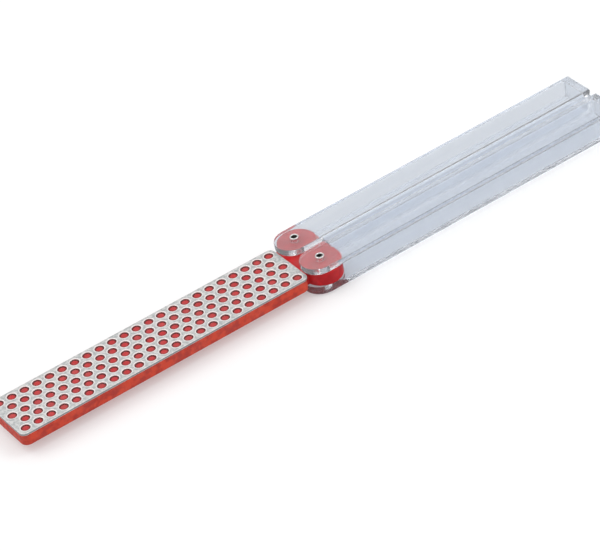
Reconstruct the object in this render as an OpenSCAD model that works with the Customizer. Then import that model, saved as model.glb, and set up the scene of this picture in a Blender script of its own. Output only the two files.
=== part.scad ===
// Folding diamond edge sharpener, shown unfolded.
// A perforated diamond plate on a moulded base, with two clear channel handles that
// turn on hollow rivets and close over the hone from both sides.
// +X runs from the hone's tip to the handles' ends, +Y is the far handle's side and +Z
// is up, out of the abrasive face. The origin is at the centre of the outer box's underside.

/* [Plate] */
// Length of the diamond plate and of the base under it
plate_l = 110.6; // [108:0.1:112]
// Width of the diamond plate and of the base under it
hone_w = 22; // [21.9:0.1:22.4]
// Thickness of the steel plate
plate_t = 0.85; // [0.6:0.05:1]
// Corner radius of the plate, seen from above
plate_corner_r = 2; // [1:0.1:3]

/* [Perforations] */
// Distance between neighbouring holes, a 60 degree pattern
hole_pitch = 4.7625; // [4.6:0.0025:4.8]
// Diameter of one hole
hole_d = 3.175; // [2:0.025:3.2]
// Number of hole rows along the plate
hole_rows = 5; // [3:2:5]
// Number of holes in the outer and middle rows
row_holes = 23; // [11:2:23]
// Depth of the pegs' tops under the abrasive face
peg_recess = 0.2; // [0.1:0.05:0.4]
// Radial gap between a peg and its hole
peg_gap = 0.03; // [0.02:0.01:0.1]

/* [Base] */
// Thickness of the moulded base under the plate
base_t = 4.45; // [4:0.05:5]
// Corner radius of the base, seen from above
base_corner_r = 2.6; // [1.5:0.1:4]
// Radius along the base's two lower edges
base_edge_r = 0.9; // [0.5:0.1:1.5]

/* [Hinge tang] */
// Distance from the hone's tip to the rivets' axes
tip_to_pivot = 117.85; // [117.8:0.05:120]
// Distance between the two rivets' axes
pivot_span = 14.6; // [14.4:0.1:15]
// Width of the tang's neck, where it leaves the base
neck_w = 16.8; // [15:0.1:16.8]
// Radius of the tang's two round lobes
lobe_r = 6.7; // [6:0.05:6.75]
// How far the lobes' centres lie beyond the rivets' axes
lobe_shift = 0.5; // [0:0.05:0.6]
// How far the lobes' centres lie inside the rivets' axes, towards the centre line
lobe_inset = 0.25; // [0:0.05:0.3]
// Distance from the rivets' axes to the tang's straight end, between the lobes
tang_reach = 7.1; // [6.9:0.05:7.15]
// Height of the tang's top under the abrasive face
tang_drop = 0.45; // [0.4:0.05:0.8]
// Height of the tang's underside above the base's underside
tang_lift = 0.2; // [0.1:0.05:0.4]

/* [Handles] */
// Distance from a rivet's axis to the handle's closed end
handle_reach = 120.4; // [120.4:0.1:124]
// Overall height of a handle
handle_h = 10.25; // [10:0.05:11]
// Height of a handle's top above the abrasive face
handle_rise = 2.2; // [2:0.05:2.4]
// Thickness of the channel's upper and lower walls
wall_t = 2; // [1.6:0.05:2.1]
// Thickness of the channel's web
web_t = 2.3; // [1.8:0.1:2.5]
// Thickness of the wall that closes the channel's end
end_t = 2; // [1.5:0.1:2.2]
// Distance from a rivet's axis to the channel's open edge
open_reach = 6.1; // [5.9:0.05:6.3]
// Distance from a rivet's axis to the web's outer face
web_reach = 7.05; // [6.9:0.05:7.1]
// Radius along the web's two outer edges
web_edge_r = 2.6; // [1:0.1:3]
// Size of the slanted corner at the web's far end
end_corner = 1.2; // [0.5:0.1:2]
// How far the round nose's centre lies in front of a rivet's axis
nose_shift = 0.95; // [0:0.05:1]
// Distance from a rivet's axis to the start of the web
web_start = 7.3; // [7.3:0.1:8]
// Radius of the thicker pads round a rivet
pad_r = 7.2; // [6.5:0.05:7.25]
// Running gap between a pad and the tang
pad_gap = 0.2; // [0.15:0.05:0.3]

/* [Rivets] */
// Outer diameter of a rivet's barrel
rivet_d = 2.4; // [2.3:0.05:2.6]
// Diameter of the hole through a rivet
rivet_bore = 2; // [1.2:0.05:2.1]
// Outer diameter of a rivet's rolled rims
rim_d = 3.1; // [2.8:0.05:3.6]
// Height of a rolled rim above the handle
rim_h = 0.8; // [0.5:0.05:0.9]
// Radial running gap round a rivet's barrel
rivet_play = 0.05; // [0.02:0.01:0.1]

/* [Hidden] */
$fn = 64;

// Heights above the rivets' lower rims, which are the lowest points
handle_z0 = rim_h;
handle_z1 = handle_z0 + handle_h;
face_z = handle_z1 - handle_rise;
base_z1 = face_z - plate_t;
base_z0 = base_z1 - base_t;
tang_z1 = face_z - tang_drop;
tang_z0 = base_z0 + tang_lift;
channel_z1 = handle_z1 - wall_t;
channel_z0 = handle_z0 + wall_t;

// Places along the tool and across it
overall_l = tip_to_pivot + handle_reach;
tip_x = -overall_l / 2;
pivot_x = tip_x + tip_to_pivot;
pivot_y = pivot_span / 2;
plate_mid_x = tip_x + plate_l / 2;
hole_row_gap = hole_pitch * sqrt(3) / 2;

// A rectangle with its low corner at p, with round corners of radius r
module round_rect(p, size, r) {
    translate([p.x + r, p.y]) square([size.x - 2 * r, size.y]);
    translate([p.x, p.y + r]) square([size.x, size.y - 2 * r]);
    for (x = [p.x + r, p.x + size.x - r], y = [p.y + r, p.y + size.y - r])
        translate([x, y]) circle(r);
}

// Lays a profile drawn in Y and Z along the X axis, from x0 to x1
module along_x(x0, x1) {
    translate([x0, 0, 0]) rotate([90, 0, 90]) linear_extrude(x1 - x0) children();
}

// Puts its children at every hole of the plate, in staggered rows
module at_holes() {
    mid_row = (hole_rows - 1) / 2;
    for (row = [0 : hole_rows - 1]) {
        count = row_holes - row % 2;
        for (i = [0 : count - 1])
            translate([
                plate_mid_x + (i - (count - 1) / 2) * hole_pitch,
                (row - mid_row) * hole_row_gap,
                0
            ]) children();
    }
}

// The tang's outline: a neck out of the bar's end, a lobe round each rivet and a straight end
module tang_outline() {
    root_x = tip_x + plate_l;
    translate([root_x, -neck_w / 2]) square([pivot_x - lobe_r / 2 - root_x, neck_w]);
    translate([root_x, -pivot_y]) square([pivot_x + tang_reach - root_x, pivot_span]);
    for (side = [-1, 1])
        translate([pivot_x + lobe_shift, side * (pivot_y - lobe_inset)]) circle(lobe_r);
}

// The bar under the plate, with its corners and its two lower edges rounded
module base_bar() {
    intersection() {
        translate([0, 0, base_z0]) linear_extrude(base_t)
            round_rect([tip_x, -hone_w / 2], [plate_l, hone_w], base_corner_r);
        along_x(tip_x, tip_x + plate_l)
            round_rect([-hone_w / 2, base_z0], [hone_w, 2 * base_t], base_edge_r);
    }
}

module hone_base() {
    color([0.74, 0.14, 0.12]) difference() {
        union() {
            base_bar();
            translate([0, 0, tang_z0]) linear_extrude(tang_z1 - tang_z0) tang_outline();
            at_holes() translate([0, 0, base_z1 - 0.5])
                cylinder(h = plate_t - peg_recess + 0.5, d = hole_d - 2 * peg_gap);
        }
        for (side = [-1, 1])
            translate([pivot_x, side * pivot_y, tang_z0 - 1])
                cylinder(h = tang_z1 - tang_z0 + 2, d = rivet_d + 2 * rivet_play);
    }
}

module diamond_plate() {
    color([0.78, 0.79, 0.80]) difference() {
        translate([0, 0, base_z1]) linear_extrude(plate_t)
            round_rect([tip_x, -hone_w / 2], [plate_l, hone_w], plate_corner_r);
        at_holes() translate([0, 0, base_z1 - 1]) cylinder(h = plate_t + 2, d = hole_d);
    }
}

// A handle seen from above, with its rivet at the origin and its web on the -Y side, where
// it runs past the web's face so that the cross-section sets that face
module handle_outline() {
    translate([-nose_shift, 0]) circle(open_reach);
    translate([-nose_shift, -open_reach])
        square([web_start + nose_shift + 1, 2 * open_reach]);
    polygon([
        [web_start, open_reach],
        [web_start, -web_reach - web_t],
        [handle_reach - end_corner - web_t, -web_reach - web_t],
        [handle_reach, -web_reach + end_corner],
        [handle_reach, open_reach]
    ]);
}

// The handle's cross-section, round along the web's two outer edges
module handle_section() {
    round_rect([-web_reach, handle_z0], [2 * web_reach, handle_h], web_edge_r);
    translate([0, handle_z0]) square([2 * open_reach, handle_h]);
}

// The hollow of the channel, open all round the rivet
module channel() {
    low = [web_start, -web_reach + web_t, channel_z0];
    translate(low)
        cube([handle_reach - end_t - web_start, 2 * web_reach, channel_z1 - channel_z0]);
    translate([-2 * web_reach, -2 * web_reach, channel_z0])
        cube([2 * web_reach + web_start, 4 * web_reach, channel_z1 - channel_z0]);
}

// The pads that bring a handle's two walls down to the tang, inside the channel's height
module pads() {
    upper_z = tang_z1 + pad_gap;
    lower_z = tang_z0 - pad_gap;
    translate([0, 0, upper_z]) cylinder(h = handle_z1 - upper_z, r = pad_r);
    translate([0, 0, handle_z0]) cylinder(h = lower_z - handle_z0, r = pad_r);
}

// One handle with its rivet at the origin: a channel with a closed end and two thick pads
module handle() {
    difference() {
        intersection() {
            translate([0, 0, handle_z0 - 1]) linear_extrude(handle_h + 2) handle_outline();
            along_x(-2 * web_reach, handle_reach + 1) handle_section();
        }
        difference() {
            channel();
            pads();
        }
        translate([0, 0, handle_z0 - 1])
            cylinder(h = handle_h + 2, d = rivet_d + 2 * rivet_play);
    }
}

// A hollow rivet with a rolled rim at each end, standing at the origin
module rivet() {
    rim_w = (rim_d - rivet_bore) / 2;
    difference() {
        cylinder(h = handle_h + 2 * rim_h, d = rivet_d);
        translate([0, 0, -1]) cylinder(h = handle_h + 2 * rim_h + 2, d = rivet_bore);
    }
    for (z = [0, handle_z1]) translate([0, 0, z])
        rotate_extrude() translate([rivet_bore / 2, 0])
            round_rect([0, 0], [rim_w, rim_h], rim_w / 2 - 0.01);
}

module at_pivot(side) {
    translate([pivot_x, side * pivot_y, 0]) mirror([0, side < 0 ? 1 : 0, 0]) children();
}

module far_handle() {
    color([0.80, 0.86, 0.90, 0.35]) at_pivot(1) handle();
}

module near_handle() {
    color([0.80, 0.86, 0.90, 0.35]) at_pivot(-1) handle();
}

module far_rivet() {
    color([0.75, 0.76, 0.78]) at_pivot(1) rivet();
}

module near_rivet() {
    color([0.75, 0.76, 0.78]) at_pivot(-1) rivet();
}

hone_base();
diamond_plate();
far_handle();
near_handle();
far_rivet();
near_rivet();
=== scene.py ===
"""Looks of a folding diamond edge sharpener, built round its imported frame.

The hone is a red moulded base under a perforated, diamond coated plate. Two clear channel
handles turn on hollow rivets. Lengths are in metres, in the frame's own axes.
"""

import logging
import math
from collections.abc import Iterable, Sequence
from dataclasses import dataclass, field
from enum import Enum

import bpy
from mathutils import Matrix, Vector
from mathutils.geometry import delaunay_2d_cdt


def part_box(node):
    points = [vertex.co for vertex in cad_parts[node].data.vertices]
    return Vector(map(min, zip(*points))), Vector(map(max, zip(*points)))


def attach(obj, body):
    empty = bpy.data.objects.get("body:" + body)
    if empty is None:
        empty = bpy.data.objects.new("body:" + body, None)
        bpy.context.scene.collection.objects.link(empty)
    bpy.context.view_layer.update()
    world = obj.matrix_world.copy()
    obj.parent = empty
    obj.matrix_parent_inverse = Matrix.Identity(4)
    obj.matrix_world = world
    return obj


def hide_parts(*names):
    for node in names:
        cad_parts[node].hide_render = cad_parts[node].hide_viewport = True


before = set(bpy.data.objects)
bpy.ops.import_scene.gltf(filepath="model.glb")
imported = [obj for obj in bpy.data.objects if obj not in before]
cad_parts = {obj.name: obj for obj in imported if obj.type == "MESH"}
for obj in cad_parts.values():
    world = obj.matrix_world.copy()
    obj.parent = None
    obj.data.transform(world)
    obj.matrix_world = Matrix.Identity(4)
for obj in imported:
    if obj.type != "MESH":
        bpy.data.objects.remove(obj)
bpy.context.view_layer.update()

LOG = logging.getLogger("sharpener")
MM = 0.001
STRAIGHT = 1e-6
WELD = 1e-9
CUTTER_R = 0.1 * MM
FIRST_COLOUR, SECOND_COLOUR, MIXED_COLOUR = 6, 7, 2

Flat = tuple[float, float]
Solid = tuple[float, float, float]
Colour = tuple[float, float, float]
Corner = tuple[float, float, float]


class Body(str, Enum):
    """The bodies that a piece can ride on."""

    HONE = "hone"
    FAR = "far_handle"
    NEAR = "near_handle"


class Slot(str, Enum):
    """The record's material slots."""

    BASE = "base_plastic"
    PLATE = "diamond_steel"
    CLEAR = "clear_plastic"
    RIVET = "rivet_metal"


class Side(Enum):
    """A side of the tool: far is +Y and near is -Y."""

    FAR = 1
    NEAR = -1

    @property
    def label(self) -> str:
        """The side's name, as node and piece names have it."""
        return self.name.lower()

    @property
    def body(self) -> Body:
        """The body of this side's handle."""
        return Body.FAR if self is Side.FAR else Body.NEAR


class Carve(str, Enum):
    """What a tool does to the piece that it meets."""

    CUT = "DIFFERENCE"
    JOIN = "UNION"


# ---------------------------------------------------------------- outlines and shells


def arc(centre: Flat, radius: float, start: float, end: float, step: float = 7.5) -> list[Flat]:
    """Points along a circular arc.

    Args:
        centre: the arc's centre.
        radius: its radius.
        start: the first point's angle in degrees.
        end: the last point's angle in degrees.
        step: the largest angle between two points, in degrees.

    Returns:
        The points, both ends included.
    """
    count = max(2, math.ceil(abs(end - start) / step))
    angles = [math.radians(start + (end - start) * i / count) for i in range(count + 1)]
    return [(centre[0] + radius * math.cos(a), centre[1] + radius * math.sin(a)) for a in angles]


def circle(radius: float, sides: int) -> list[Flat]:
    """A circle round the origin, anticlockwise."""
    return arc((0, 0), radius, 0, 360 * (sides - 1) / sides, 360 / sides)


def rounded(corners: Sequence[Corner], step: float = 7.5) -> list[Flat]:
    """A closed outline with a round at each corner.

    Args:
        corners: x, y and radius of each corner, anticlockwise.
        step: the largest angle between two points of a round, in degrees.

    Returns:
        The outline's points.
    """
    outline: list[Flat] = []
    for i, (x, y, radius) in enumerate(corners):
        here = Vector((x, y))
        into = (here - Vector(corners[i - 1][:2])).normalized()
        out = (Vector(corners[(i + 1) % len(corners)][:2]) - here).normalized()
        turn = math.atan2(into.x * out.y - into.y * out.x, into.dot(out))
        if radius <= 0 or abs(turn) < STRAIGHT:
            outline.append((x, y))
            continue
        side = math.copysign(1, turn)
        start = here - into * (radius * math.tan(abs(turn) / 2))
        centre = start + Vector((-into.y, into.x)) * (side * radius)
        first = math.degrees(math.atan2(start.y - centre.y, start.x - centre.x))
        outline += arc(tuple(centre), radius, first, first + math.degrees(turn), step)
    return outline


def inset(outline: Sequence[Flat], distance: float) -> list[Flat]:
    """The outline moved inwards by a distance, with its corners kept.

    Args:
        outline: anticlockwise points.
        distance: how far each side moves.

    Returns:
        One point for each of the outline's points.
    """
    moved = []
    for i, point in enumerate(outline):
        here = Vector(point)
        into = (here - Vector(outline[i - 1])).normalized()
        out = (Vector(outline[(i + 1) % len(outline)]) - here).normalized()
        first, second = Vector((into.y, -into.x)), Vector((out.y, -out.x))
        moved.append(tuple(here - (first + second) * (distance / (1 + first.dot(second)))))
    return moved


def rectangle(low: Flat, high: Flat, radius: float) -> list[Flat]:
    """A rectangle with round corners, anticlockwise."""
    (x0, y0), (x1, y1) = low, high
    return rounded([(x0, y0, radius), (x1, y0, radius), (x1, y1, radius), (x0, y1, radius)])


@dataclass
class Shell:
    """A closed surface while it is being made: points, faces, and a number for each point that sets
    its polish, painted highlight and painted shade.
    """

    points: list[Solid] = field(default_factory=list)
    wear_and_painted_light: list[float] = field(default_factory=list)
    faces: list[tuple[int, ...]] = field(default_factory=list)

    def ring(self, outline: Iterable[Flat], z: float, wear_and_painted_light: float = 0.0) -> list[int]:
        """Adds an outline at a height.

        Args:
            outline: the points seen from above.
            z: their height.
            wear_and_painted_light: how much of an edge they are, from 0 to 1, or below 0 for
                painted shade on the plate's side; on the plate it sets polish and a painted
                highlight, on the pegs painted shade.

        Returns:
            The new points' numbers.
        """
        first = len(self.points)
        self.points += [(x, y, z) for x, y in outline]
        self.wear_and_painted_light += [wear_and_painted_light] * (len(self.points) - first)
        return list(range(first, len(self.points)))

    def bridge(self, low: Sequence[int], high: Sequence[int]) -> None:
        """Joins two rings of the same length.

        Args:
            low: the first ring's points.
            high: the next ring's points, above it if the rings run anticlockwise.
        """
        for i in range(len(low)):
            j = (i + 1) % len(low)
            self.faces.append((low[i], low[j], high[j], high[i]))

    def stack(self, rings: Sequence[Sequence[int]]) -> None:
        """Joins each ring to the next one."""
        for low, high in zip(rings, rings[1:]):
            self.bridge(low, high)

    def close(self, bottom: Sequence[int], top: Sequence[int]) -> None:
        """Caps both ends of a stack."""
        self.faces.append(tuple(reversed(bottom)))
        self.faces.append(tuple(top))

    def fill(self, outer: Sequence[int], holes: Sequence[Sequence[int]], up: bool) -> None:
        """Fills a level region that has round holes in it.

        Args:
            outer: the ring round the region.
            holes: the rings round the holes.
            up: True if the region looks up.
        """
        loops = [outer, *holes]
        numbers = [n for loop in loops for n in loop]
        loop_of = [k for k, loop in enumerate(loops) for _ in loop]
        place = {n: i for i, n in enumerate(numbers)}
        edges = [(place[a], place[loop[i - 1]]) for loop in loops for i, a in enumerate(loop)]
        flat = [Vector(self.points[n][:2]) for n in numbers]
        found = delaunay_2d_cdt(flat, edges, [], 1, WELD)
        origin = [group[0] for group in found[3]]
        for triangle in found[2]:
            corners = [origin[k] for k in triangle]
            touched = {loop_of[k] for k in corners}
            if touched == {0} or len(touched) > 1:
                face = tuple(numbers[k] for k in corners)
                self.faces.append(face if up else tuple(reversed(face)))

    def add(self, other: "Shell") -> None:
        """Takes in another shell as it is.

        Args:
            other: the shell to take in.
        """
        first = len(self.points)
        self.points += other.points
        self.wear_and_painted_light += other.wear_and_painted_light
        self.faces += [tuple(n + first for n in face) for face in other.faces]

    def moved(self, x: float, y: float) -> "Shell":
        """A copy moved by x and y."""
        points = [(px + x, py + y, pz) for px, py, pz in self.points]
        return Shell(points, list(self.wear_and_painted_light), list(self.faces))

    def piece(self, name: str) -> bpy.types.Object:
        """Makes a Blender object of the shell, with each point's number for polish and painted
        light as a point attribute.

        Args:
            name: the object's name.

        Returns:
            The new object.
        """
        mesh = bpy.data.meshes.new(name)
        mesh.from_pydata(self.points, [], self.faces)
        mesh.validate()
        # The attribute carries polish, painted highlight and painted shade.
        worn = mesh.attributes.new("wear_and_painted_light", "FLOAT", "POINT")
        worn.data.foreach_set("value", self.wear_and_painted_light)
        made = bpy.data.objects.new(name, mesh)
        bpy.context.scene.collection.objects.link(made)
        return made


def prism(outline: Sequence[Flat], z0: float, z1: float, low_r: float, top_r: float,
          flat: float = 0.0, steps: int = 5, side_wear_and_shade: float = 0.0,
          edge_wear_and_highlight: float = 1.0) -> Shell:
    """An upright prism with rounded lower and upper edges.

    Args:
        outline: anticlockwise points.
        z0: the underside's height.
        z1: the top's height.
        low_r: radius along the lower edge.
        top_r: radius along the upper edge.
        flat: width of the band inside each edge over which the edge's polish and painted highlight
            fade, or 0 for none.
        steps: how many bands make a rounded edge.
        side_wear_and_shade: the upright side's number, below 0 for painted shade on it.
        edge_wear_and_highlight: the rounded edges' number, for their polish and painted highlight.

    Returns:
        The closed shell.
    """
    shell = Shell()
    rings = []
    if flat:
        rings.append(shell.ring(inset(outline, low_r + flat), z0))
    for i in range(steps + 1):
        angle = math.radians(90 * i / steps)
        shape = inset(outline, low_r * (1 - math.sin(angle)))
        rings.append(shell.ring(shape, z0 + low_r * (1 - math.cos(angle)), edge_wear_and_highlight))
    for part in (0.3, 0.8):
        rings.append(shell.ring(outline, z0 + low_r + (z1 - z0 - low_r - top_r) * part, side_wear_and_shade))
    for i in range(steps + 1):
        angle = math.radians(90 * i / steps)
        shape = inset(outline, top_r * (1 - math.cos(angle)))
        rings.append(shell.ring(shape, z1 - top_r * (1 - math.sin(angle)), edge_wear_and_highlight))
    if flat:
        rings.append(shell.ring(inset(outline, top_r + flat), z1))
    shell.stack(rings)
    shell.close(rings[0], rings[-1])
    return shell


def lathe(profile: Sequence[Flat], segments: int = 64) -> Shell:
    """Turns a closed profile round the Z axis.

    Args:
        profile: radius and height of each point, anticlockwise as seen with radius to the right.
        segments: how many steps make the turn.

    Returns:
        The closed shell, round the origin.
    """
    shell = Shell()
    rings = [shell.ring(circle(radius, segments), z) for radius, z in profile]
    shell.stack([*rings, rings[0]])
    return shell


def disc(radius: float, z0: float, z1: float, edge_r: float, sides: int = 48) -> Shell:
    """A round bar standing at the origin, with both edges rounded."""
    return prism(circle(radius, sides), z0, z1, edge_r, edge_r)


# ---------------------------------------------------------------- pieces


def middle_of(node: str) -> Vector:
    """The middle of a node's box."""
    low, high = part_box(node)
    return (low + high) / 2


def settle(piece: bpy.types.Object) -> None:
    """Applies a piece's modifiers to its mesh.

    Args:
        piece: the object that changes.
    """
    graph = bpy.context.evaluated_depsgraph_get()
    mesh = bpy.data.meshes.new_from_object(piece.evaluated_get(graph))
    piece.modifiers.clear()
    old = piece.data
    piece.data = mesh
    mesh.name = piece.name
    bpy.data.meshes.remove(old)


def combine(piece: bpy.types.Object, tool: bpy.types.Object, how: Carve) -> None:
    """Cuts a tool out of a piece or joins it on, and removes the tool.

    Args:
        piece: the object that changes.
        tool: the object that is used up.
        how: whether the tool cuts or joins.
    """
    change = piece.modifiers.new("carve", "BOOLEAN")
    change.operation = how.value
    change.solver = "MANIFOLD"
    change.object = tool
    settle(piece)
    old = tool.data
    bpy.data.objects.remove(tool)
    bpy.data.meshes.remove(old)


def carve(piece: bpy.types.Object, shell: Shell, how: Carve) -> None:
    """Cuts a shell out of a piece or joins it on."""
    combine(piece, shell.piece("tool"), how)


def smooth(piece: bpy.types.Object, sharp_deg: float) -> None:
    """Shades a piece smoothly, with flat faces kept flat.

    Args:
        piece: the object that changes.
        sharp_deg: the angle over which an edge stays sharp, in degrees.
    """
    piece.data.shade_smooth()
    piece.data.set_sharp_from_angle(angle=math.radians(sharp_deg))
    even = piece.modifiers.new("even_normals", "WEIGHTED_NORMAL")
    even.keep_sharp = True
    even.weight = 100


def place(piece: bpy.types.Object, material: bpy.types.Material, body: Body, slot: Slot,
          *nodes: str) -> None:
    """Dresses a piece, puts it on its body and reports it.

    Args:
        piece: the finished object.
        material: its finish.
        body: the body that it moves with.
        slot: the record's material slot; not used.
        nodes: the frame's nodes that it stands for.
    """
    piece.data.materials.clear()
    piece.data.materials.append(material)
    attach(piece, body.value)
    if nodes:
        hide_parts(*nodes)
    LOG.info("%s: %d faces, rides on %s", piece.name, len(piece.data.polygons), body.value)


# ---------------------------------------------------------------- node trees


@dataclass
class Tree:
    """Adds and links the nodes of a material, a group or a world."""

    tree: bpy.types.NodeTree

    def node(self, kind: str, inputs: dict[str | int, object] | None = None,
             **settings: object) -> bpy.types.Node:
        """Adds a node.

        Args:
            kind: the node's type name, without its ShaderNode start.
            inputs: for each input socket, a value or the output socket to link from.
            settings: the node's own properties.

        Returns:
            The new node.
        """
        made = self.tree.nodes.new("ShaderNode" + kind)
        for name, value in settings.items():
            setattr(made, name, value)
        self.fill(made, inputs or {})
        return made

    def fill(self, node: bpy.types.Node, inputs: dict[str | int, object]) -> None:
        """Feeds several of a node's inputs."""
        for socket, value in inputs.items():
            self.feed(node.inputs[socket], value)

    def feed(self, socket: bpy.types.NodeSocket, value: object) -> None:
        """Links an input socket, or sets its value.

        Args:
            socket: the input socket.
            value: the output socket to link from, or the value.
        """
        if isinstance(value, bpy.types.NodeSocket):
            self.tree.links.new(value, socket)
        else:
            socket.default_value = value

    def math(self, kind: str, first: object, second: object = 0.0,
             clamp: bool = False) -> bpy.types.NodeSocket:
        """The result of a Math node."""
        return self.node("Math", {0: first, 1: second}, operation=kind, use_clamp=clamp).outputs[0]

    def ramp(self, value: object, low: float, high: float, to_low: float = 0.0,
             to_high: float = 1.0) -> bpy.types.NodeSocket:
        """A value taken smoothly from one range to another."""
        inputs = {"Value": value, "From Min": low, "From Max": high,
                  "To Min": to_low, "To Max": to_high}
        return self.node("MapRange", inputs, interpolation_type="SMOOTHSTEP").outputs[0]

    def mix(self, factor: object, first: object, second: object) -> bpy.types.NodeSocket:
        """A mix of two colours."""
        inputs = {0: factor, FIRST_COLOUR: rgba(first), SECOND_COLOUR: rgba(second)}
        return self.node("Mix", inputs, data_type="RGBA").outputs[MIXED_COLOUR]

    def own(self) -> bpy.types.NodeSocket:
        """The piece's own coordinates, in metres."""
        return self.node("TexCoord").outputs["Object"]

    def stretched(self, scale: Solid) -> bpy.types.NodeSocket:
        """The piece's own coordinates, scaled along each axis."""
        return self.node("Mapping", {"Vector": self.own(), "Scale": scale}).outputs[0]

    def noise(self, where: object, scale: float, detail: float = 2.0,
              rough: float = 0.5) -> bpy.types.NodeSocket:
        """Soft noise from 0 to 1."""
        inputs = {"Vector": where, "Scale": scale, "Detail": detail, "Roughness": rough}
        return self.node("TexNoise", inputs).outputs[0]

    def weighed(self, first: object, share: float, second: object,
                other: float) -> bpy.types.NodeSocket:
        """The sum of two values, each times its share."""
        return self.math("ADD", self.math("MULTIPLY", first, share),
                         self.math("MULTIPLY", second, other))

    def bump(self, height: object, distance: float, strength: float) -> bpy.types.NodeSocket:
        """A normal raised by a height."""
        inputs = {"Height": height, "Distance": distance, "Strength": strength}
        return self.node("Bump", inputs).outputs[0]

    def attribute(self, name: str) -> bpy.types.NodeSocket:
        """A number stored on the mesh."""
        return self.node("Attribute", attribute_name=name).outputs["Fac"]

    def group(self, made: bpy.types.NodeTree, inputs: dict[str, object]) -> bpy.types.Node:
        """Places a node group."""
        return self.node("Group", inputs, node_tree=made)


def rgba(value: object) -> object:
    """A colour with its alpha, if it is a colour of three numbers."""
    return (*value, 1.0) if isinstance(value, tuple) and len(value) == 3 else value


def new_group(name: str, inputs: dict[str, float],
              outputs: Sequence[str]) -> tuple[Tree, dict, dict]:
    """Starts a shader node group with number sockets.

    Args:
        name: the group's name.
        inputs: each input's name and default.
        outputs: the outputs' names.

    Returns:
        The group's tree, its input sockets by name and its output sockets by name.
    """
    made = bpy.data.node_groups.new(name, "ShaderNodeTree")
    number = "NodeSocketFloat"
    for socket, value in inputs.items():
        taken = made.interface.new_socket(socket, in_out="INPUT", socket_type=number)
        taken.default_value = value
    for socket in outputs:
        made.interface.new_socket(socket, in_out="OUTPUT", socket_type=number)
    start = made.nodes.new("NodeGroupInput")
    end = made.nodes.new("NodeGroupOutput")
    return Tree(made), {n: start.outputs[n] for n in inputs}, {n: end.inputs[n] for n in outputs}


@dataclass
class Effects:
    """The surface effects that several finishes share, each a node group."""

    scratch_grain: Solid = (60.0, 2600.0, 2600.0)
    scratch_patches: float = 70.0
    edge_grain: float = 800.0
    speck_grain: float = 2400.0
    haze_grain: float = 160.0

    def __post_init__(self) -> None:
        """Builds every group once."""
        self.mottle = self.make_mottle()
        self.scratches = self.make_scratches()
        self.worn_edges = self.make_worn_edges()
        self.dust = self.make_dust()

    def make_mottle(self) -> bpy.types.NodeTree:
        """Grain at two sizes: a broad cloud and a fine one, and their weighed mean as a height.

        Returns:
            The node group.
        """
        tree, given, out = new_group("mottle", {"Broad": 120.0, "Fine": 900.0},
                                     ["Cloud", "Grain", "Height"])
        own = tree.own()
        cloud = tree.noise(own, given["Broad"], 3.0)
        grain = tree.noise(own, given["Fine"])
        tree.feed(out["Cloud"], tree.ramp(cloud, 0.35, 0.65))
        tree.feed(out["Grain"], tree.ramp(grain, 0.3, 0.7))
        tree.feed(out["Height"], tree.weighed(cloud, 0.3, grain, 0.7))
        return tree.tree

    def make_scratches(self) -> bpy.types.NodeTree:
        """Fine lines along the tool's length, broken up by a broad cloud.

        Returns:
            The node group.
        """
        tree, given, out = new_group("scratches", {"Scale": 1.0, "Share": 0.5}, ["Lines"])
        lines = tree.noise(tree.stretched(self.scratch_grain), given["Scale"])
        patches = tree.noise(tree.own(), self.scratch_patches)
        shown = tree.math("MULTIPLY", tree.ramp(lines, 0.58, 0.72), tree.ramp(patches, 0.4, 0.62))
        tree.feed(out["Lines"], tree.math("MULTIPLY", shown, given["Share"]))
        return tree.tree

    def make_worn_edges(self) -> bpy.types.NodeTree:
        """Where the surface turns sharply within a radius, made uneven by noise.

        Returns:
            The node group.
        """
        tree, given, out = new_group("worn_edges", {"Radius": 0.0003, "Amount": 1.0}, ["Mask"])
        round_normal = tree.node("Bevel", {"Radius": given["Radius"]}, samples=4).outputs[0]
        normal = tree.node("NewGeometry").outputs["Normal"]
        both = tree.node("VectorMath", {0: round_normal, 1: normal}, operation="DOT_PRODUCT")
        turned = tree.ramp(tree.math("SUBTRACT", 1.0, both.outputs["Value"]), 0.01, 0.2)
        uneven = tree.ramp(tree.noise(tree.own(), self.edge_grain, 3.0), 0.3, 0.7, 0.45, 1.0)
        worn = tree.math("MULTIPLY", turned, uneven)
        tree.feed(out["Mask"], tree.math("MULTIPLY", worn, given["Amount"], clamp=True))
        return tree.tree

    def make_dust(self) -> bpy.types.NodeTree:
        """Sparse specks and a thin haze, heavier where the surface looks up.

        Returns:
            The node group.
        """
        tree, given, out = new_group("dust", {"Amount": 0.5}, ["Mask"])
        specks = tree.ramp(tree.noise(tree.own(), self.speck_grain, 1.0), 0.66, 0.8)
        haze = tree.ramp(tree.noise(tree.own(), self.haze_grain, 4.0), 0.35, 0.75)
        up = tree.node("SeparateXYZ", {0: tree.node("NewGeometry").outputs["Normal"]}).outputs[2]
        lies = tree.ramp(up, -0.2, 1.0, 0.3, 1.0)
        both = tree.math("ADD", tree.math("MULTIPLY", haze, 0.6), specks, clamp=True)
        share = tree.math("MULTIPLY", both, lies)
        tree.feed(out["Mask"], tree.math("MULTIPLY", share, given["Amount"]))
        return tree.tree


def new_material(name: str) -> tuple[bpy.types.Material, Tree, bpy.types.Node, bpy.types.Node]:
    """Starts a material.

    Args:
        name: the material's name.

    Returns:
        The material, its tree, its Principled shader and its output node.
    """
    material = bpy.data.materials.new(name)
    material.use_nodes = True
    nodes = material.node_tree.nodes
    nodes.clear()
    tree = Tree(material.node_tree)
    shader = tree.node("BsdfPrincipled")
    output = tree.node("OutputMaterial", {"Surface": shader.outputs[0]})
    return material, tree, shader, output


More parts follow.
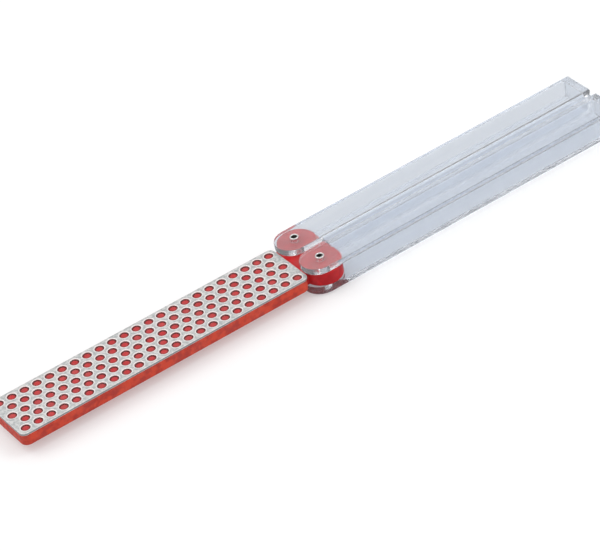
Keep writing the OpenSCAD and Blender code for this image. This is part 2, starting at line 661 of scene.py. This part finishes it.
@dataclass(frozen=True)
class RedPlastic:
    """Matte moulded plastic with a fine spark-eroded texture."""

    colour: Colour = (0.69, 0.052, 0.014)
    cloudy: Colour = (0.46, 0.024, 0.009)
    rubbed: Colour = (0.72, 0.12, 0.065)
    roughness: float = 0.52
    gloss: float = 0.5
    refraction: float = 1.5
    cloud_grain: float = 420.0
    fine_grain: float = 3400.0
    texture_depth: float = 0.00002
    edge_width: float = 0.00025
    dusty: Colour = (0.72, 0.66, 0.62)
    # Painted shade towards a peg's outer edge, where the hole's wall shades the recessed peg.
    rim_shade_colour: Colour = (0.16, 0.012, 0.012)
    rim_shade: float = 0.0

    def build(self, effects: Effects, name: str) -> bpy.types.Material:
        """Makes the material.

        Args:
            effects: the shared node groups.
            name: the material's name.

        Returns:
            The finished material.
        """
        material, tree, shader, _ = new_material(name)
        mottle = tree.group(effects.mottle, {"Broad": self.cloud_grain, "Fine": self.fine_grain})
        edges = tree.group(effects.worn_edges, {"Radius": self.edge_width, "Amount": 0.6})
        dust = tree.group(effects.dust, {"Amount": 0.10})
        skin = tree.mix(mottle.outputs["Cloud"], self.cloudy, self.colour)
        skin = tree.mix(edges.outputs["Mask"], skin, self.rubbed)
        skin = tree.mix(dust.outputs["Mask"], skin, self.dusty)
        # Painted shade: darker towards a peg's outer edge, for the hole's wall shading it.
        if self.rim_shade:
            shaded = tree.ramp(tree.attribute("wear_and_painted_light"), 0.0, 0.9, 0.0, self.rim_shade)
            skin = tree.mix(shaded, skin, self.rim_shade_colour)
        smoothest, roughest = self.roughness - 0.08, self.roughness + 0.12
        tree.fill(shader, {
            "Base Color": skin,
            "Roughness": tree.ramp(mottle.outputs["Grain"], 0.0, 1.0, smoothest, roughest),
            "Normal": tree.bump(mottle.outputs["Height"], self.texture_depth, 0.8),
            "IOR": self.refraction,
            "Specular IOR Level": self.gloss,
        })
        return material


@dataclass(frozen=True)
class DiamondNickel:
    """Nickel plate with diamond grit set in it: dull metal with a fine cool and warm mottle."""

    colour: Colour = (0.73, 0.73, 0.72)
    cool: Colour = (0.50, 0.52, 0.52)
    # Painted highlight for the holes' lips and walls and the plate's edges.
    polished: Colour = (0.97, 0.92, 0.905)
    # Painted shade for the plate's upright side.
    painted_side_shade: Colour = (0.38, 0.365, 0.355)
    scratched: Colour = (0.52, 0.54, 0.54)
    roughness: float = 0.46
    cloud_grain: float = 900.0
    fine_grain: float = 5200.0
    grit_grain: float = 9000.0
    grit_depth: float = 0.00003

    def build(self, effects: Effects, name: str) -> bpy.types.Material:
        """Makes the material.

        Args:
            effects: the shared node groups.
            name: the material's name.

        Returns:
            The finished material.
        """
        material, tree, shader, _ = new_material(name)
        mottle = tree.group(effects.mottle, {"Broad": self.cloud_grain, "Fine": self.fine_grain})
        lines = tree.group(effects.scratches, {"Scale": 1.0, "Share": 0.35})
        wear_and_painted_light = tree.attribute("wear_and_painted_light")
        cells = tree.node("TexVoronoi", {"Vector": tree.own(), "Scale": self.grit_grain})
        grit = cells.outputs["Distance"]
        skin = tree.mix(mottle.outputs["Cloud"], self.cool, self.colour)
        # Painted highlight: lighter round each hole's lip and along the plate's edges; the lower
        # roughness there is polish.
        skin = tree.mix(tree.ramp(wear_and_painted_light, 0.0, 0.8, 0.0, 0.95), skin, self.polished)
        # Painted shade: the plate's upright side is darker.
        skin = tree.mix(tree.ramp(wear_and_painted_light, -0.2, -0.9), skin, self.painted_side_shade)
        skin = tree.mix(lines.outputs["Lines"], skin, self.scratched)
        spark = tree.ramp(grit, 0.1, 0.7, 0.0, 0.16)
        height = tree.weighed(grit, 0.6, mottle.outputs["Grain"], 0.4)
        tree.fill(shader, {
            "Base Color": skin,
            "Roughness": tree.math("ADD", spark, tree.ramp(wear_and_painted_light, 0.0, 1.0, self.roughness, 0.3)),
            "Normal": tree.bump(height, self.grit_depth, 0.7),
            "Metallic": 1.0,
        })
        return material


@dataclass(frozen=True)
class ClearPlastic:
    """Clear moulded plastic with a faint cool tint, flow haze and fine rubbing."""

    tint: Colour = (0.908, 0.927, 0.955)
    haze: Colour = (0.862, 0.887, 0.928)
    dusty: Colour = (0.82, 0.85, 0.88)
    frosted: Colour = (0.97, 0.98, 1.0)
    roughness: float = 0.09
    waviness: float = 0.000003
    refraction: float = 1.49
    clearness: float = 0.96
    flow_grain: Solid = (25.0, 260.0, 260.0)
    wave_grain: Solid = (90.0, 320.0, 320.0)
    edge_width: float = 0.0004
    shade: Colour = (0.90, 0.915, 0.94)

    def build(self, effects: Effects, name: str) -> bpy.types.Material:
        """Makes the material; lamps shine through it, dimmed a little by its shade.

        Args:
            effects: the shared node groups.
            name: the material's name.

        Returns:
            The finished material.
        """
        material, tree, shader, output = new_material(name)
        lines = tree.group(effects.scratches, {"Scale": 0.5, "Share": 0.5})
        dust = tree.group(effects.dust, {"Amount": 0.25})
        edges = tree.group(effects.worn_edges, {"Radius": self.edge_width, "Amount": 0.9})
        flow = tree.ramp(tree.noise(tree.stretched(self.flow_grain), 1.0, 3.0), 0.35, 0.7)
        skin = tree.mix(flow, self.tint, self.haze)
        skin = tree.mix(dust.outputs["Mask"], skin, self.dusty)
        skin = tree.mix(edges.outputs["Mask"], skin, self.frosted)
        rubbed = tree.weighed(lines.outputs["Lines"], 0.25, dust.outputs["Mask"], 0.3)
        rubbed = tree.math("ADD", rubbed, tree.math("MULTIPLY", edges.outputs["Mask"], 0.4))
        wave = tree.noise(tree.stretched(self.wave_grain), 1.0, 1.0)
        tree.fill(shader, {
            "Base Color": skin,
            "Roughness": tree.math("ADD", rubbed, self.roughness),
            "Normal": tree.bump(wave, self.waviness, 0.6),
            "Transmission Weight": self.clearness,
            "IOR": self.refraction,
        })
        through = tree.node("BsdfTransparent", {"Color": rgba(self.shade)})
        lamps = tree.node("LightPath").outputs["Is Shadow Ray"]
        both = tree.node("MixShader", {0: lamps, 1: shader.outputs[0], 2: through.outputs[0]})
        tree.feed(output.inputs["Surface"], both.outputs[0])
        return material


@dataclass(frozen=True)
class BrightNickel:
    """Plated rivet metal, buffed smooth, with turning marks and dulled edges."""

    colour: Colour = (0.83, 0.82, 0.80)
    dull: Colour = (0.55, 0.55, 0.55)
    rubbed: Colour = (0.93, 0.92, 0.90)
    roughness: float = 0.16
    cloud_grain: float = 1500.0
    fine_grain: float = 9000.0
    marks_grain: Solid = (400.0, 400.0, 9000.0)
    marks_depth: float = 0.000006
    edge_width: float = 0.00012

    def build(self, effects: Effects, name: str) -> bpy.types.Material:
        """Makes the material.

        Args:
            effects: the shared node groups.
            name: the material's name.

        Returns:
            The finished material.
        """
        material, tree, shader, _ = new_material(name)
        mottle = tree.group(effects.mottle, {"Broad": self.cloud_grain, "Fine": self.fine_grain})
        edges = tree.group(effects.worn_edges, {"Radius": self.edge_width, "Amount": 0.5})
        marks = tree.noise(tree.stretched(self.marks_grain), 1.0)
        dulled = tree.math("MULTIPLY", mottle.outputs["Cloud"], 0.35)
        skin = tree.mix(dulled, self.colour, self.dull)
        skin = tree.mix(edges.outputs["Mask"], skin, self.rubbed)
        roughest = self.roughness + 0.14
        tree.fill(shader, {
            "Base Color": skin,
            "Roughness": tree.ramp(mottle.outputs["Grain"], 0.0, 1.0, self.roughness, roughest),
            "Normal": tree.bump(marks, self.marks_depth, 0.5),
            "Metallic": 1.0,
        })
        return material


@dataclass(frozen=True)
class PaleFloor:
    """The plain pale floor, which gives the object a little less light than it shows."""

    colour: Colour = (0.66, 0.66, 0.66)
    uneven: Colour = (0.645, 0.645, 0.645)
    bounced: Colour = (0.32, 0.345, 0.38)
    glow: Colour = (0.98, 0.99, 1.0)
    glow_strength: float = 0.32

    def build(self) -> bpy.types.Material:
        """Makes the material.

        Returns:
            The finished material.
        """
        material, tree, shader, _ = new_material("pale_floor")
        shown = tree.mix(tree.noise(tree.own(), 3.0), self.colour, self.uneven)
        seen = tree.node("LightPath").outputs["Is Camera Ray"]
        tree.fill(shader, {
            "Base Color": tree.mix(seen, self.bounced, shown),
            "Emission Color": rgba(self.glow),
            "Emission Strength": self.glow_strength,
            "Roughness": 0.9,
            "Specular IOR Level": 0.0,
        })
        return material


# ---------------------------------------------------------------- sub-assemblies


@dataclass
class DiamondPlate:
    """The perforated plate: five staggered rows of round holes in thin steel."""

    corner_r: float = 2.0 * MM
    top_edge_r: float = 0.16 * MM
    low_edge_r: float = 0.05 * MM
    pitch: float = 4.7625 * MM
    hole_r: float = 1.5875 * MM
    hole_edge_r: float = 0.09 * MM
    # The painted highlight round each hole and along the plate's edges fades out over the next two
    # widths; the three numbers after them set its strength, with polish.
    highlight_ring: float = 0.42 * MM
    highlight_band: float = 0.15 * MM
    edge_wear_and_highlight: float = 0.3
    wall_wear_and_highlight_low: float = 0.2
    wall_wear_and_highlight_high: float = 0.8
    lip_angles: tuple[int, ...] = (30, 60, 90)
    rows: int = 5
    row_holes: int = 23
    sides: int = 40

    def centres(self) -> list[Flat]:
        """The holes' centres, in the frame's own axes.

        Returns:
            Row by row, x and y of each hole.
        """
        middle = middle_of("diamond_plate")
        gap = self.pitch * math.sqrt(3) / 2
        found = []
        for row in range(self.rows):
            count = self.row_holes - row % 2
            y = middle.y + (row - (self.rows - 1) / 2) * gap
            found += [(middle.x + (i - (count - 1) / 2) * self.pitch, y) for i in range(count)]
        return found

    def circle(self, centre: Flat, radius: float) -> list[Flat]:
        """A hole's edge, clockwise, so that its wall looks into the hole."""
        return arc(centre, radius, 360, 360 / self.sides, 360 / self.sides)

    def shell(self) -> Shell:
        """The plate's surface: a prism whose two caps have round holes in them.

        Returns:
            The closed shell.
        """
        low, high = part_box("diamond_plate")
        outline = rectangle(tuple(low.xy), tuple(high.xy), self.corner_r)
        # The side's number below 0 paints shade on it; the edges' numbers paint a highlight.
        shell = prism(outline, low.z, high.z, self.low_edge_r, self.top_edge_r,
                      flat=self.highlight_band, side_wear_and_shade=-1.0, edge_wear_and_highlight=self.edge_wear_and_highlight)
        shell.faces = shell.faces[:-2]
        count = len(outline)
        bottom = list(range(count))
        top = list(range(len(shell.points) - count, len(shell.points)))
        edge = self.hole_edge_r
        upper, lower = [], []
        for centre in self.centres():
            rings = [shell.ring(self.circle(centre, self.hole_r + edge), low.z)]
            # The wall's and lip's numbers paint a highlight, which fades out across the ring round
            # the hole.
            for z, wear_and_painted_light in ((low.z + edge, self.wall_wear_and_highlight_low),
                            (high.z - edge, self.wall_wear_and_highlight_high)):
                rings.append(shell.ring(self.circle(centre, self.hole_r), z, wear_and_painted_light))
            for angle in map(math.radians, self.lip_angles):
                lip = self.circle(centre, self.hole_r + edge * (1 - math.cos(angle)))
                rings.append(shell.ring(lip, high.z - edge + edge * math.sin(angle), 1.0))
            outer = self.circle(centre, self.hole_r + edge + self.highlight_ring)
            rings.append(shell.ring(outer, high.z))
            shell.stack(rings)
            lower.append(rings[0])
            upper.append(rings[-1])
        shell.fill(bottom, lower, up=False)
        shell.fill(top, upper, up=True)
        return shell

    def build(self, material: bpy.types.Material) -> None:
        """Makes the plate and puts it on the hone.

        Args:
            material: the plate's finish.
        """
        piece = self.shell().piece("diamond_face")
        smooth(piece, sharp_deg=50)
        place(piece, material, Body.HONE, Slot.PLATE, "diamond_plate")


@dataclass
class HoneBase:
    """The red moulding: a bar, the hinge tang with its two lobes, and a peg in each hole."""

    corner_r: float = 2.6 * MM
    low_edge_r: float = 0.9 * MM
    top_edge_r: float = 0.12 * MM
    bar_t: float = 4.45 * MM
    tang_lift: float = 0.2 * MM
    tang_edge_r: float = 0.3 * MM
    neck_w: float = 16.8 * MM
    lobe_r: float = 6.69 * MM
    lobe_shift: float = 0.5 * MM
    lobe_inset: float = 0.25 * MM
    tang_reach: float = 7.1 * MM
    root_depth: float = 1.6 * MM
    root_drop: float = 0.3 * MM
    root_gap: float = 0.02 * MM
    margin: float = 20 * MM
    bore_r: float = 1.25 * MM
    peg_gap: float = 0.03 * MM
    peg_recess: float = 0.2 * MM
    peg_root: float = 0.4 * MM
    peg_crown_r: float = 0.65 * MM
    peg_fall: float = 0.42 * MM
    peg_curve: float = 1.8
    peg_sides: int = 32
    peg_bands: int = 6

    def bar(self) -> Shell:
        """The bar under the plate."""
        low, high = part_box("diamond_plate")
        outline = rectangle(tuple(low.xy), tuple(high.xy), self.corner_r)
        return prism(outline, low.z - self.bar_t, low.z, self.low_edge_r, self.top_edge_r, steps=8)

    def tang_outline(self, pivot: Vector, root_x: float) -> list[Flat]:
        """The tang seen from above: a neck, a lobe round each rivet and a straight end.

        Args:
            pivot: the far rivet's axis.
            root_x: where the neck starts, inside the bar.

        Returns:
            Its points, anticlockwise.
        """
        half_neck = self.neck_w / 2
        out = pivot.y - self.lobe_inset
        centre = (pivot.x + self.lobe_shift, -out)
        meets = math.degrees(math.asin((half_neck - out) / self.lobe_r))
        ends = math.degrees(math.acos((self.tang_reach - self.lobe_shift) / self.lobe_r))
        near = arc(centre, self.lobe_r, 180 + meets, 360 + ends, 4)
        far = [(x, -y) for x, y in reversed(near)]
        return [(root_x, -half_neck), *near, *far, (root_x, half_neck)]

    def tang(self) -> bpy.types.Object:
        """The bar with the tang joined on and the rivets' bores through it.

        Returns:
            The moulding, with the tang's root cut back to lie inside the bar.
        """
        bar_low, bar_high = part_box("diamond_plate")
        tang_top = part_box("hone_base")[1].z
        piece = self.bar().piece("base_moulding")
        pivot = middle_of("far_rivet")
        floor_z = bar_low.z - self.bar_t + self.tang_lift
        outline = self.tang_outline(pivot, bar_high.x - self.root_depth)
        tang = prism(outline, floor_z, tang_top, self.tang_edge_r, self.tang_edge_r).piece("tang")
        over = rectangle((bar_high.x - 3 * self.root_depth, -self.margin),
                         (bar_high.x + self.root_gap, self.margin), 0)
        sharp = CUTTER_R / 10
        carve(tang, prism(over, bar_low.z - self.root_drop, tang_top + MM, sharp, sharp), Carve.CUT)
        combine(piece, tang, Carve.JOIN)
        for side in Side:
            bore = disc(self.bore_r, floor_z - MM, tang_top + MM, CUTTER_R)
            carve(piece, bore.moved(pivot.x, side.value * pivot.y), Carve.CUT)
        return piece

    def peg(self, z: float) -> Shell:
        """One peg at the origin: a round stub with a level crown that falls away to the hole.

        Args:
            z: the plate's underside.

        Returns:
            The closed shell.
        """
        radius = DiamondPlate.hole_r - self.peg_gap
        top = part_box("diamond_plate")[1].z - self.peg_recess
        shell = Shell()
        # Each step's third number is its share of painted shade: 1 at the outer edge, 0 on the
        # crown.
        steps = [(radius, z - self.peg_root, 1.0)]
        for i in range(self.peg_bands, -1, -1):
            part = i / self.peg_bands
            across = self.peg_crown_r + (radius - self.peg_crown_r) * part
            steps.append((across, top - self.peg_fall * part ** self.peg_curve, part))
        steps.append((self.peg_crown_r * 0.5, top, 0.0))
        rings = [shell.ring(circle(r, self.peg_sides), height, wear_and_painted_light) for r, height, wear_and_painted_light in steps]
        shell.stack(rings)
        shell.close(rings[0], rings[-1])
        return shell

    def build(self, bar: bpy.types.Material, tang: bpy.types.Material,
              pegs_red: bpy.types.Material) -> None:
        """Makes the moulding and its pegs and puts them on the hone.

        Args:
            bar: the finish of the bar.
            tang: the finish of the tang, a darker copy of the bar's red plastic that paints shade.
            pegs_red: the finish of the pegs' tops, with painted shade towards each peg's outer
                edge.
        """
        piece = self.tang()
        smooth(piece, sharp_deg=35)
        place(piece, bar, Body.HONE, Slot.BASE, "hone_base")
        # The tang's faces take the darker copy of the red plastic: painted shade.
        piece.data.materials.append(tang)
        bar_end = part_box("diamond_plate")[1].x
        for face in piece.data.polygons:
            face.material_index = int(face.center.x > bar_end)
        pegs = Shell()
        one = self.peg(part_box("diamond_plate")[0].z)
        for x, y in DiamondPlate().centres():
            pegs.add(one.moved(x, y))
        pegs_piece = pegs.piece("base_pegs")
        smooth(pegs_piece, sharp_deg=50)
        place(pegs_piece, pegs_red, Body.HONE, Slot.BASE, "hone_base")


@dataclass
class Handle:
    """One clear channel handle, with its web by the tool's centre line."""

    side: Side
    wall_t: float = 2.0 * MM
    web_t: float = 2.3 * MM
    end_t: float = 2.0 * MM
    web_reach: float = 7.05 * MM
    open_reach: float = 6.1 * MM
    web_edge_r: float = 2.6 * MM
    web_corner_r: float = 1.5 * MM
    web_cut: float = 2 * MM
    nose_shift: float = 0.95 * MM
    nose_play: float = 0.002 * MM
    web_start: float = 7.3 * MM
    start_r: float = 0.3 * MM
    corner_r: float = 0.5 * MM
    edge_r: float = 0.2 * MM
    inner_r: float = 0.5 * MM
    inner_start_r: float = 0.6 * MM
    inner_end_r: float = 0.8 * MM
    pad_r: float = 7.2 * MM
    pad_edge_r: float = 0.15 * MM
    pad_sides: int = 96
    pad_gap: float = 0.2 * MM
    bore_r: float = 1.25 * MM
    tang_t: float = 4.65 * MM
    margin: float = 20 * MM
    overlap: float = 0.5 * MM

    def __post_init__(self) -> None:
        """Takes the handle's place and height from the frame."""
        low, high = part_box(f"{self.side.label}_handle")
        self.z0, self.z1 = low.z, high.z
        self.pivot = middle_of(f"{self.side.label}_rivet")
        self.reach = high.x - self.pivot.x
        self.tang_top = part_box("hone_base")[1].z

    def outer(self) -> Shell:
        """The handle's outside, as if it were solid, with its rivet at the origin.

        Returns:
            The closed shell.
        """
        nose_x = -self.nose_shift - self.open_reach
        nose_r = self.open_reach - self.nose_play
        outline = rounded([
            (nose_x, -self.open_reach, nose_r),
            (self.web_start, -self.open_reach, self.start_r),
            (self.web_start, -self.web_reach, self.corner_r),
            (self.reach, -self.web_reach, self.web_corner_r),
            (self.reach, self.open_reach, self.corner_r),
            (nose_x, self.open_reach, nose_r),
        ], step=5)
        return prism(outline, self.z0, self.z1, self.edge_r, self.edge_r, steps=4)

    def web_round(self, top: bool) -> Shell:
        """What is cut off along one of the web's two outer edges.

        Args:
            top: True for the upper edge.

        Returns:
            The cutter, which runs past both ends of the web.
        """
        radius = self.web_edge_r
        inner_y = -self.web_reach + radius
        outer_y = -self.web_reach - self.web_cut
        curve = arc((inner_y, self.z1 - radius), radius, 90, 180, 6)
        profile = [(inner_y, self.z1 + self.web_cut), *curve, (outer_y, self.z1 - radius),
                   (outer_y, self.z1 + self.web_cut)]
        if not top:
            profile = [(y, self.z0 + self.z1 - z) for y, z in reversed(profile)]
        shell = Shell()
        rings = []
        for x in (self.web_start - self.overlap, self.reach + self.margin):
            first = len(shell.points)
            shell.points += [(x, y, z) for y, z in reversed(profile)]
            shell.wear_and_painted_light += [0.0] * len(profile)
            rings.append(list(range(first, len(shell.points))))
        shell.stack(rings)
        shell.close(rings[0], rings[1])
        return shell

    def hollow(self) -> Shell:
        """The space between the two walls, open along one side and round the rivet.

        Returns:
            The cutter, before the pads are cut out of it.
        """
        far = self.margin
        inner_y = -self.web_reach + self.web_t
        end_x = self.reach - self.end_t
        outline = rounded([
            (-far, -far, 0),
            (self.web_start, -far, 0),
            (self.web_start, inner_y, self.inner_start_r),
            (end_x, inner_y, self.inner_end_r),
            (end_x, far, 0),
            (-far, far, 0),
        ], step=10)
        low, high = self.z0 + self.wall_t, self.z1 - self.wall_t
        return prism(outline, low, high, self.inner_r, self.inner_r)

    def pads(self) -> list[Shell]:
        """The thicker rounds that bring each wall near to the tang.

        Returns:
            The upper pad and the lower one.
        """
        upper = self.tang_top + self.pad_gap
        lower = self.tang_top - self.tang_t - self.pad_gap
        wall = self.wall_t / 2
        return [
            disc(self.pad_r, upper, self.z1 - wall, self.pad_edge_r, self.pad_sides),
            disc(self.pad_r, self.z0 + wall, lower, self.pad_edge_r, self.pad_sides),
        ]

    def build(self, material: bpy.types.Material) -> None:
        """Makes the handle, mirrored if it is the near one, and puts it on its own body.

        Args:
            material: the handle's finish.
        """
        piece = self.outer().piece(f"{self.side.label}_clear_handle")
        for top in (True, False):
            carve(piece, self.web_round(top), Carve.CUT)
        hollow = self.hollow().piece("hollow")
        for pad in self.pads():
            carve(hollow, pad, Carve.CUT)
        combine(piece, hollow, Carve.CUT)
        carve(piece, disc(self.bore_r, self.z0 - MM, self.z1 + MM, CUTTER_R), Carve.CUT)
        mirror = Matrix.Scale(self.side.value, 4, Vector((0, 1, 0)))
        piece.data.transform(Matrix.Translation((self.pivot.x, self.pivot.y, 0)) @ mirror)
        if self.side is Side.NEAR:
            piece.data.flip_normals()
        smooth(piece, sharp_deg=35)
        place(piece, material, self.side.body, Slot.CLEAR, f"{self.side.label}_handle")


@dataclass
class Rivet:
    """A hollow rivet with a rolled flange at each end."""

    side: Side
    bore_r: float = 1.0 * MM
    barrel_r: float = 1.2 * MM
    flange_r: float = 1.55 * MM
    flange_h: float = 0.8 * MM
    lip_h: float = 0.42 * MM
    neck_h: float = 0.05 * MM
    neck_w: float = 0.1 * MM
    tuck_w: float = 0.12 * MM
    tuck_share: float = 0.92

    def profile(self, z0: float, z1: float) -> list[Flat]:
        """The wall's section, anticlockwise: up the outside and down the bore.

        Args:
            z0: the lowest point.
            z1: the highest point.

        Returns:
            Radius and height of each point.
        """
        half = (self.flange_r - self.bore_r) / 2
        angles = [math.radians(a) for a in range(0, 181, 15)]
        lip = [(self.bore_r + half + half * math.cos(a), z1 - self.lip_h + self.lip_h * math.sin(a))
               for a in angles]
        top = [
            (self.barrel_r, z1 - self.flange_h - self.neck_h),
            (self.barrel_r + self.neck_w, z1 - self.flange_h),
            (self.flange_r - self.tuck_w, z1 - self.flange_h * self.tuck_share),
            *lip,
        ]
        bottom = [(r, z0 + z1 - z) for r, z in reversed(top)]
        return [*bottom, *top]

    def build(self, material: bpy.types.Material) -> None:
        """Makes the rivet and puts it on its handle's body.

        Args:
            material: the rivet's finish.
        """
        node = f"{self.side.label}_rivet"
        low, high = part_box(node)
        middle = middle_of(node)
        shell = lathe(self.profile(low.z, high.z)).moved(middle.x, middle.y)
        piece = shell.piece(f"{self.side.label}_hollow_rivet")
        smooth(piece, sharp_deg=60)
        place(piece, material, self.side.body, Slot.RIVET, node)


# ---------------------------------------------------------------- studio


@dataclass(frozen=True)
class Lamp:
    """A soft square lamp that looks at the object; its power is in watts."""

    name: str
    place: Solid
    width: float
    power: float
    colour: Colour

    def build(self) -> None:
        """Hangs the lamp."""
        data = bpy.data.lights.new(self.name, "AREA")
        data.size = self.width
        data.energy = self.power
        data.color = self.colour
        lamp = bpy.data.objects.new(self.name, data)
        lamp.location = self.place
        lamp.rotation_mode = "QUATERNION"
        lamp.rotation_quaternion = (-Vector(self.place)).to_track_quat("-Z", "Y")
        bpy.context.scene.collection.objects.link(lamp)


@dataclass
class Studio:
    """A pale floor, a soft even sky, two large soft lamps and a small one for the edges."""

    floor_half: float = 6.0
    sky: Colour = (0.91, 0.91, 0.91)
    horizon: Colour = (0.66, 0.66, 0.67)
    horizon_top: float = 0.6
    sky_strength: float = 1.0
    glass_bounces: int = 32
    lamps: tuple[Lamp, ...] = (
        Lamp("key_lamp", (-0.7, 0.5, 1.3), 0.9, 4.5, (1.0, 0.99, 0.97)),
        Lamp("fill_lamp", (0.9, -0.8, 0.9), 0.8, 2.5, (0.95, 0.97, 1.0)),
        Lamp("edge_lamp", (0.50, -0.33, 1.15), 0.32, 1.1, (0.97, 0.98, 1.0)),
    )

    def floor(self) -> None:
        """Lays the floor, which isn't part of the object."""
        h = self.floor_half
        shell = Shell()
        ring = shell.ring([(-h, -h), (h, -h), (h, h), (-h, h)], 0.0)
        shell.faces.append(tuple(ring))
        piece = shell.piece("floor")
        piece.data.materials.append(PaleFloor().build())

    def world(self) -> None:
        """Makes the sky: pale overhead and greyer near the horizon."""
        world = bpy.data.worlds.new("soft_sky")
        world.use_nodes = True
        world.node_tree.nodes.clear()
        tree = Tree(world.node_tree)
        up = tree.node("SeparateXYZ", {0: tree.node("TexCoord").outputs["Generated"]}).outputs[2]
        colour = tree.mix(tree.ramp(up, 0.0, self.horizon_top), self.horizon, self.sky)
        shine = tree.node("Background", {"Color": colour, "Strength": self.sky_strength})
        tree.node("OutputWorld", {"Surface": shine.outputs[0]})
        bpy.context.scene.world = world

    def build(self) -> None:
        """Sets up the whole studio."""
        self.floor()
        self.world()
        for lamp in self.lamps:
            lamp.build()
        light = bpy.context.scene.cycles
        light.max_bounces = light.transmission_bounces = self.glass_bounces
        light.transparent_max_bounces = self.glass_bounces
        settings = bpy.context.scene.view_settings
        settings.view_transform = "Standard"
        settings.look = "None"
        LOG.info("studio: floor, sky and %d lamps", len(self.lamps))


@dataclass
class ViewPoint:
    """The camera: where it stands from what it looks at, and how it is tipped."""

    azimuth: float = -28.6105
    elevation: float = 36.7422
    roll: float = 10.8416
    distance: float = 1067.48 * MM
    lens: float = 197.45
    sensor: float = 36.0
    nearest: float = 0.01
    furthest: float = 50.0
    aim_x: float = -10.202 * MM
    aim_y: float = -8.106 * MM

    def build(self) -> None:
        """Makes the camera and hands it to the scene."""
        a, e, r = (math.radians(v) for v in (self.azimuth, self.elevation, self.roll))
        back = Vector((math.sin(a) * math.cos(e), -math.cos(a) * math.cos(e), math.sin(e)))
        level = Vector((math.cos(a), math.sin(a), 0))
        upright = back.cross(level)
        right = level * math.cos(r) - upright * math.sin(r)
        up = upright * math.cos(r) + level * math.sin(r)
        data = bpy.data.cameras.new("camera")
        data.lens = self.lens
        data.sensor_width = self.sensor
        data.clip_start, data.clip_end = self.nearest, self.furthest
        camera = bpy.data.objects.new("camera", data)
        aim = Vector((self.aim_x, self.aim_y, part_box("diamond_plate")[1].z))
        turn = Matrix((right, up, back)).transposed().to_4x4()
        camera.matrix_world = Matrix.Translation(aim + back * self.distance) @ turn
        bpy.context.scene.collection.objects.link(camera)
        bpy.context.scene.camera = camera
        LOG.info("camera: %.1f mm lens", self.lens)


def main() -> None:
    """Builds the camera, the studio and every sub-assembly in order."""
    logging.basicConfig(level=logging.INFO, format="%(name)s: %(message)s")
    ViewPoint().build()
    Studio().build()
    effects = Effects()
    red = RedPlastic().build(effects, "red_plastic")
    DiamondPlate().build(DiamondNickel().build(effects, "diamond_nickel"))
    # The pegs' copy of the red plastic paints shade towards each peg's outer edge.
    crimson = RedPlastic(colour=(0.515, 0.014, 0.018), cloudy=(0.43, 0.010, 0.013), rim_shade=0.9)
    # The tang's copy is the same red plastic as the bar's, darker and deeper red: the two are a lit
    # and a shaded copy, with painted shade on the tang.
    painted_shade_red = RedPlastic(colour=(0.56, 0.010, 0.014), cloudy=(0.44, 0.008, 0.012),
                      roughness=0.4, gloss=0.2)
    pegs_red = crimson.build(effects, "red_pegs")
    HoneBase().build(red, painted_shade_red.build(effects, "painted_shade_red_plastic"), pegs_red)
    clear = ClearPlastic().build(effects, "clear_plastic")
    bright = BrightNickel().build(effects, "bright_nickel")
    for side in Side:
        Handle(side).build(clear)
        Rivet(side).build(bright)


if __name__ == "__main__":
    main()
